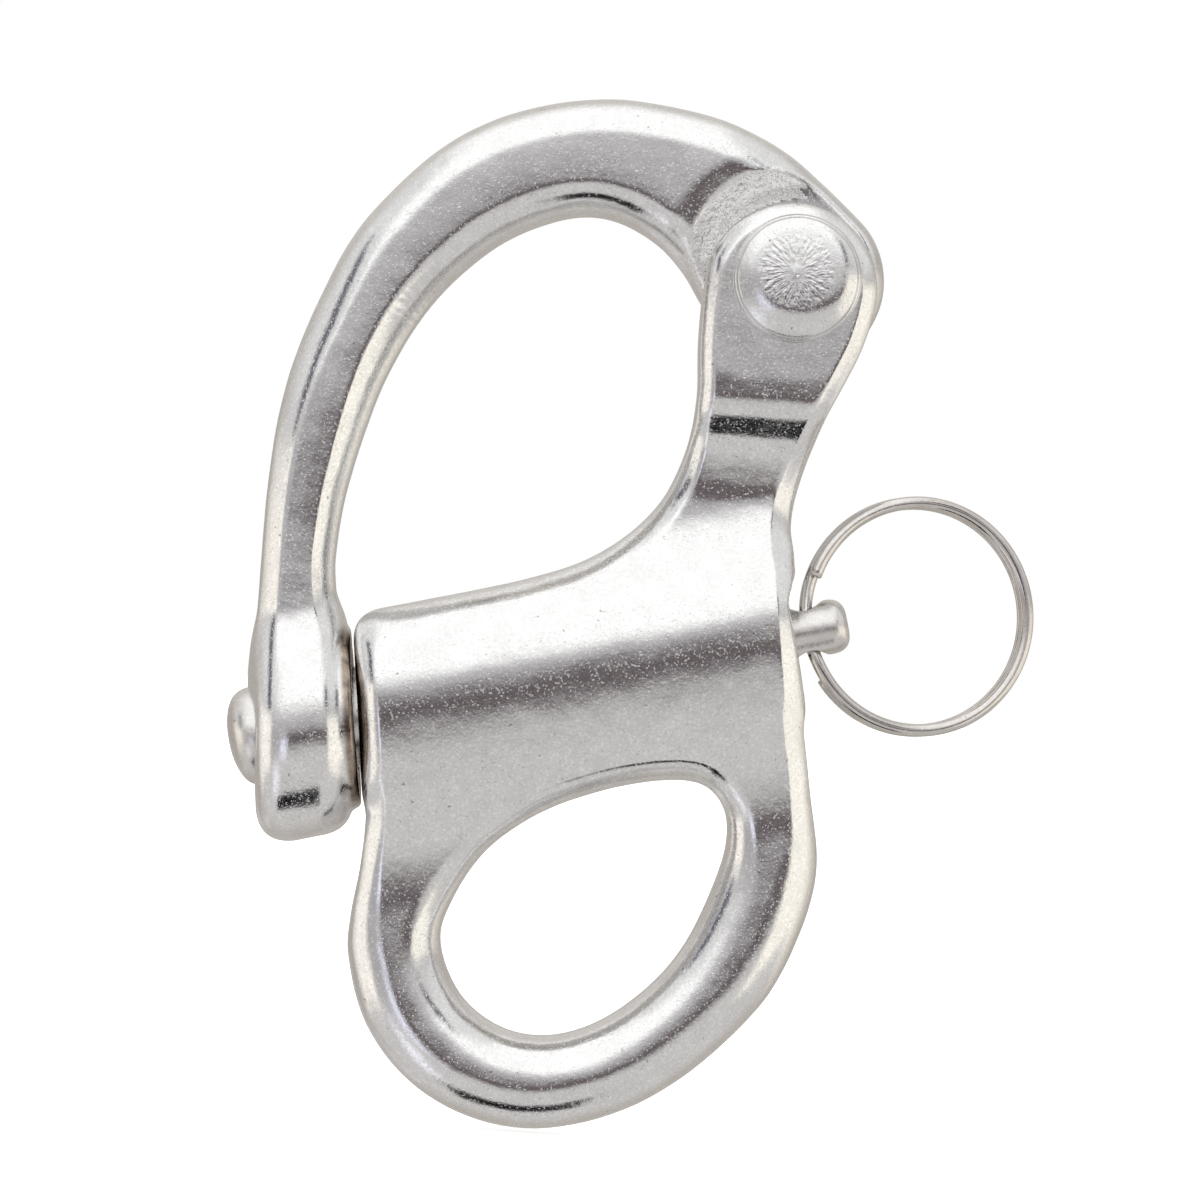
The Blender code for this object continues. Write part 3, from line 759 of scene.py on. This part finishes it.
def value_between(tree, source, low, high, start=0.3, stop=0.7, interpolation="LINEAR"):
    """A value that runs from low to high as the source goes from start to stop."""
    node = tree.nodes.new("ShaderNodeMapRange")
    node.interpolation_type = interpolation
    node.inputs["From Min"].default_value = start
    node.inputs["From Max"].default_value = stop
    node.inputs["To Min"].default_value = low
    node.inputs["To Max"].default_value = high
    tree.links.new(source, node.inputs["Value"])
    return node.outputs["Result"]


def bump(tree, height, distance, normal=None):
    """A bumped normal, its distance in millimetres."""
    node = tree.nodes.new("ShaderNodeBump")
    node.inputs["Distance"].default_value = distance * MM
    tree.links.new(height, node.inputs["Height"])
    if normal:
        tree.links.new(normal, node.inputs["Normal"])
    return node.outputs["Normal"]


def product(tree, first, second):
    """The product of two colours."""
    node = tree.nodes.new("ShaderNodeMix")
    node.data_type = "RGBA"
    node.blend_type = "MULTIPLY"
    node.inputs["Factor"].default_value = 1.0
    tree.links.new(first, node.inputs["A"])
    tree.links.new(second, node.inputs["B"])
    return node.outputs["Result"]


def mixed(tree, share, first, second):
    """From a first colour to a second by a share; a colour is a socket or three numbers."""
    node = tree.nodes.new("ShaderNodeMix")
    node.data_type = "RGBA"
    tree.links.new(share, node.inputs["Factor"])
    for end, colour in (("A", first), ("B", second)):
        if isinstance(colour, bpy.types.NodeSocket):
            tree.links.new(colour, node.inputs[end])
        else:
            node.inputs[end].default_value = (*colour, 1)
    return node.outputs["Result"]


def calculated(tree, operation, *values):
    """The result of an arithmetic operation on sockets and numbers."""
    node = tree.nodes.new("ShaderNodeMath")
    node.operation = operation
    for socket, value in zip(node.inputs, values):
        if isinstance(value, bpy.types.NodeSocket):
            tree.links.new(value, socket)
        else:
            socket.default_value = value
    return node.outputs["Value"]


def part_along(tree, vector, direction):
    """The part of a vector along a direction."""
    node = tree.nodes.new("ShaderNodeVectorMath")
    node.operation = "DOT_PRODUCT"
    tree.links.new(vector, node.inputs[0])
    node.inputs[1].default_value = direction
    return node.outputs["Value"]


def within(tree, value, centre, half, soft):
    """1 within half of a centre, 0 outside, with a soft edge."""
    away = calculated(tree, "ABSOLUTE", calculated(tree, "SUBTRACT", value, centre))
    return value_between(tree, away, 0, 1, half + soft, half - soft, "SMOOTHSTEP")


# ---------------------------------------------------------------- materials

WHITE = (1.0, 1.0, 1.0)
FLECK, PIT = (0.87, 0.87, 0.87), (0.55, 0.53, 0.51)
# Darkest and lightest brown of the shade painted into the gap between boss and barrel.
DARK_GAP_SHADE, LIGHT_GAP_SHADE = (0.17, 0.135, 0.11), (0.40, 0.33, 0.27)
# Features per millimetre of tone, pits, dents and the painted gap shade. Specks are finer than
# the grain.
TONE_RATE, PIT_RATE, DENT_RATE, GAP_SHADE_RATE = 0.5, 1.6, 1.3, 0.7
SPECK_SIZE, SPECK_DEPTH = 0.7, 1.1
# The stretch of the noise in which each of them sets in.
FLECK_RANGE, PIT_RANGE, SPECK_RANGE = (0.5, 0.66), (0.24, 0.27), (0.64, 0.74)


def steel(name, dark, light, gloss, grain_size, grain_depth):
    """Bright stainless steel: faint tone, dark pits, uneven gloss and a fine sparkling grain."""
    made, shader = material(name)
    tree = made.node_tree
    grain = noise(tree, 1 / grain_size, 3.0, 0.65)
    tone = colour_between(tree, noise(tree, TONE_RATE, 4.0, 0.6), dark, light)
    flecks = colour_between(tree, grain, FLECK, WHITE, *FLECK_RANGE)
    pits = colour_between(tree, noise(tree, PIT_RATE), PIT, WHITE, *PIT_RANGE)
    speck = noise(tree, 1 / (SPECK_SIZE * grain_size), 1.0)
    speck = value_between(tree, speck, 0, 1, *SPECK_RANGE)
    normal = bump(tree, noise(tree, DENT_RATE), grain_depth)
    normal = bump(tree, speck, SPECK_DEPTH * grain_depth, normal)
    normal = bump(tree, grain, grain_depth, normal)
    shader.inputs["Metallic"].default_value = 1.0
    tree.links.new(product(tree, product(tree, tone, flecks), pits), shader.inputs["Base Color"])
    tree.links.new(value_between(tree, grain, *gloss), shader.inputs["Roughness"])
    tree.links.new(normal, shader.inputs["Normal"])
    return made


def paint_gap_shade(made):
    """Paints brown shade into a cast material in the narrow gap between boss and barrel."""
    tree = made.node_tree
    base = tree.nodes["Principled BSDF"].inputs["Base Color"]
    place = tree.nodes.new("ShaderNodeTexCoord").outputs["Object"]
    axis = Vector((PIN_X, 0, PIN_Z)) * MM
    across_gap = PIN_DIRECTION - LEFT_FACE_LEAN * PIN_NORMAL
    station = part_along(tree, place, across_gap)
    height = part_along(tree, place, PIN_NORMAL)
    middle = GAP_MIDDLE * MM + axis.dot(across_gap)
    mask = calculated(
        tree, "MULTIPLY",
        within(tree, station, middle, *(value * MM for value in GAP_REACH)),
        within(tree, height, axis.dot(PIN_NORMAL), *(value * MM for value in GAP_HEIGHT)),
    )
    # Painted shade: brown mixed in over the base colour where the gap lies.
    gap_shade_colour = colour_between(tree, noise(tree, GAP_SHADE_RATE, 3.0), DARK_GAP_SHADE, LIGHT_GAP_SHADE)
    tree.links.new(mixed(tree, mask, base.links[0].from_socket, gap_shade_colour), base)


# Each steel: darkest and lightest tone, gloss from smoothest to roughest, then the size and
# the depth of its grain in millimetres.
BRIGHT = ((0.82, 0.815, 0.81), (0.88, 0.875, 0.87))
PALE = ((0.95, 0.94, 0.93), (1.0, 0.99, 0.98))
DULL = ((0.76, 0.74, 0.72), (0.83, 0.81, 0.79))
GREY = ((0.66, 0.63, 0.60), (0.74, 0.71, 0.68))
CAST = steel("tumbled cast steel", *BRIGHT, (0.19, 0.09), 0.30, 0.010)
ROUGH = steel("steel left as cast", *PALE, (0.20, 0.32), 0.28, 0.07)
CREASED = steel("upset steel", *BRIGHT, (0.10, 0.20), 0.24, 0.012)
TURNED = steel("turned steel", *DULL, (0.24, 0.32), 0.3, 0.005)
DRAWN = steel("drawn wire", *GREY, (0.07, 0.14), 0.3, 0.003)
# Painted shade in the gap between the hook's boss and the barrel.
paint_gap_shade(CAST)


# ---------------------------------------------------------------- pieces


def finish(piece, made, body, node):
    """Gives a piece its material, the body it rides on and the node it stands for."""
    piece.data.materials.append(made)
    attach(piece, body)
    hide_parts(node)


body = casting("body", body_field, "body_casting", cast_skin)
finish(body, CAST, "shackle", "body_casting")

hook = casting("hook", hook_field, "hook_casting", hook_skin)
finish(hook, CAST, "hook", "hook_casting")
hook.data.materials.append(ROUGH)
centres = np.array([face.center for face in hook.data.polygons]) / MM
hook.data.polygons.foreach_set("material_index", (in_recess(centres) > 0.5).astype(np.int32))

rivet = rivet_piece()
finish(rivet, CREASED, "shackle", "hinge_rivet")

plunger = grown(
    "plunger", plunger_field, (DOME_TIP, -PLUNGER_RADIUS, -PLUNGER_RADIUS),
    (TAIL_END, PLUNGER_RADIUS, PLUNGER_RADIUS), 0.6 * VOXEL, plunger_skin, pin_place,
)
finish(plunger, TURNED, "plunger", "locking_plunger")

spring = swept("spring", spring_path(), SPRING_WIRE / 2, 12)
finish(spring, DRAWN, "spring", "plunger_spring")
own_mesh(spring)

ring = swept("ring", ring_path(), RING_WIRE / 2, 20)
finish(ring, DRAWN, "ring", "pull_ring")


# ---------------------------------------------------------------- studio

VIEW_ROLL = math.radians(4.2)
VIEW_WIDTH = 111.9 * MM
CAMERA_DISTANCE = 700 * MM
VIEW_CENTRE = Vector((2.8, 0, 32.04)) * MM
VIEW_RIGHT = Vector((math.cos(VIEW_ROLL), 0, math.sin(VIEW_ROLL)))
VIEW_UP = Vector((-math.sin(VIEW_ROLL), 0, math.cos(VIEW_ROLL)))
VIEW_AHEAD = Vector((0, 1, 0))
FLOOR_RADIUS, FLOOR_GAP = 3.0, 0.4 * MM

# Cards and soft boxes round the object. A place is the tilt of the surface that mirrors the
# card to the front: to the right and up, from -1 to 1. Then half width and half height, the
# softness of the edges, and the brightness and tint that the steel shows.
BASE_GLOW = (0.66, 0.652, 0.655)
CARDS = [
    ((0.0, 0.75), (1.2, 0.62), 0.16, (0.86, 0.86, 0.86)),
    ((0.0, -0.75), (1.2, 0.59), 0.05, (0.77, 0.762, 0.757)),
    ((-0.05, 0.47), (0.30, 0.33), 0.09, (1.02, 1.02, 1.02)),
    ((0.15, -0.07), (0.30, 0.045), 0.035, (0.32, 0.28, 0.29)),
    ((-0.20, -0.12), (0.06, 0.06), 0.03, (0.92, 0.92, 0.99)),
    ((-0.70, -0.06), (0.20, 0.17), 0.05, (0.98, 0.96, 0.93)),
    ((0.565, -0.125), (0.235, 0.175), 0.05, (0.99, 0.97, 0.93)),
    ((0.31, 0.19), (0.045, 0.08), 0.03, (0.36, 0.34, 0.36)),
    ((-0.33, -0.33), (0.07, 0.10), 0.05, (0.94, 0.94, 0.97)),
    ((-0.56, 0.25), (0.05, 0.13), 0.03, (0.36, 0.35, 0.39)),
    ((-0.08, -0.53), (0.20, 0.07), 0.015, (0.10, 0.10, 0.11)),
]
# A card darker than DARK_CARD stands only in front of the object and fades in by FRONT_DEPTH.
# Behind the object every tone fades towards BACK_TONE, by BACK_SHARE at BACK_DEPTH.
DARK_CARD, FRONT_DEPTH = 0.5, -0.15
BACK_TONE, BACK_SHARE, BACK_DEPTH = (0.66, 0.635, 0.605), 0.75, 0.7
STEEL_TONE, DISPLAY_GAMMA = 0.78, 2.2


def floor():
    """A pale disc under the object, which doesn't show in the steel."""
    mesh = bpy.data.meshes.new("floor")
    shape = bmesh.new()
    bmesh.ops.create_circle(shape, cap_ends=True, segments=64, radius=FLOOR_RADIUS)
    shape.to_mesh(mesh)
    shape.free()
    plane = bpy.data.objects.new("floor", mesh)
    plane.location.z = cad_box[0][2] - FLOOR_GAP
    bpy.context.scene.collection.objects.link(plane)
    made, shader = material("pale floor")
    shader.inputs["Base Color"].default_value = (0.9, 0.9, 0.9, 1)
    shader.inputs["Roughness"].default_value = 0.9
    shader.inputs["Emission Color"].default_value = (1, 1, 1, 1)
    shader.inputs["Emission Strength"].default_value = 0.6
    plane.data.materials.append(made)
    plane.visible_glossy = False


def glow(tone):
    """Light that bright steel shows as a display tone."""
    return [value**DISPLAY_GAMMA / STEEL_TONE for value in tone]


def mirror_tilt(tree, direction, ahead):
    """Rightward and upward tilt of the surface that mirrors a direction to the front."""
    gather = tree.nodes.new("ShaderNodeCombineXYZ")
    tree.links.new(part_along(tree, direction, VIEW_RIGHT), gather.inputs["X"])
    tree.links.new(part_along(tree, direction, VIEW_UP), gather.inputs["Y"])
    depth = calculated(tree, "ADD", calculated(tree, "ABSOLUTE", ahead), 1.0)
    tree.links.new(depth, gather.inputs["Z"])
    unit = tree.nodes.new("ShaderNodeVectorMath")
    unit.operation = "NORMALIZE"
    tree.links.new(gather.outputs["Vector"], unit.inputs[0])
    split = tree.nodes.new("ShaderNodeSeparateXYZ")
    tree.links.new(unit.outputs["Vector"], split.inputs["Vector"])
    return split.outputs["X"], split.outputs["Y"]


def studio_light(tree):
    """The cards' colours by direction, the same behind the object but calmer."""
    direction = tree.nodes.new("ShaderNodeTexCoord").outputs["Generated"]
    ahead = part_along(tree, direction, VIEW_AHEAD)
    rightward, upward = mirror_tilt(tree, direction, ahead)
    in_front = value_between(tree, ahead, 0, 1, 0.0, FRONT_DEPTH)
    colour = glow(BASE_GLOW)
    for centre, half, soft, tone in CARDS:
        mask = calculated(
            tree, "MULTIPLY", within(tree, rightward, centre[0], half[0], soft),
            within(tree, upward, centre[1], half[1], soft),
        )
        if max(tone) < DARK_CARD:
            mask = calculated(tree, "MULTIPLY", mask, in_front)
        colour = mixed(tree, mask, colour, glow(tone))
    behind = value_between(tree, ahead, 0, BACK_SHARE, 0.0, BACK_DEPTH, "SMOOTHSTEP")
    return mixed(tree, behind, colour, glow(BACK_TONE))


def studio_world():
    """Soft boxes and cards that the steel mirrors, and a plain white backdrop."""
    world = bpy.data.worlds.new("studio")
    bpy.context.scene.world = world
    world.use_nodes = True
    tree = world.node_tree
    tree.nodes.clear()
    lit = tree.nodes.new("ShaderNodeBackground")
    tree.links.new(studio_light(tree), lit.inputs["Color"])
    plain = tree.nodes.new("ShaderNodeBackground")
    plain.inputs["Color"].default_value = (*WHITE, 1)
    path = tree.nodes.new("ShaderNodeLightPath")
    mix = tree.nodes.new("ShaderNodeMixShader")
    tree.links.new(path.outputs["Is Camera Ray"], mix.inputs["Fac"])
    tree.links.new(lit.outputs["Background"], mix.inputs[1])
    tree.links.new(plain.outputs["Background"], mix.inputs[2])
    out = tree.nodes.new("ShaderNodeOutputWorld")
    tree.links.new(mix.outputs["Shader"], out.inputs["Surface"])


def camera():
    """A long lens square to the front, rolled so that the load line leans to the right."""
    lens = bpy.data.cameras.new("camera")
    lens.sensor_width = 36
    lens.angle = 2 * math.atan(VIEW_WIDTH / 2 / CAMERA_DISTANCE)
    lens.clip_start = 0.01
    eye = bpy.data.objects.new("camera", lens)
    bpy.context.scene.collection.objects.link(eye)
    turn = Matrix((VIEW_RIGHT, VIEW_UP, -VIEW_AHEAD)).transposed().to_4x4()
    place = VIEW_CENTRE - VIEW_AHEAD * CAMERA_DISTANCE
    eye.matrix_world = Matrix.Translation(place) @ turn
    bpy.context.scene.camera = eye


floor()
studio_world()
camera()
bpy.context.scene.view_settings.view_transform = "Standard"
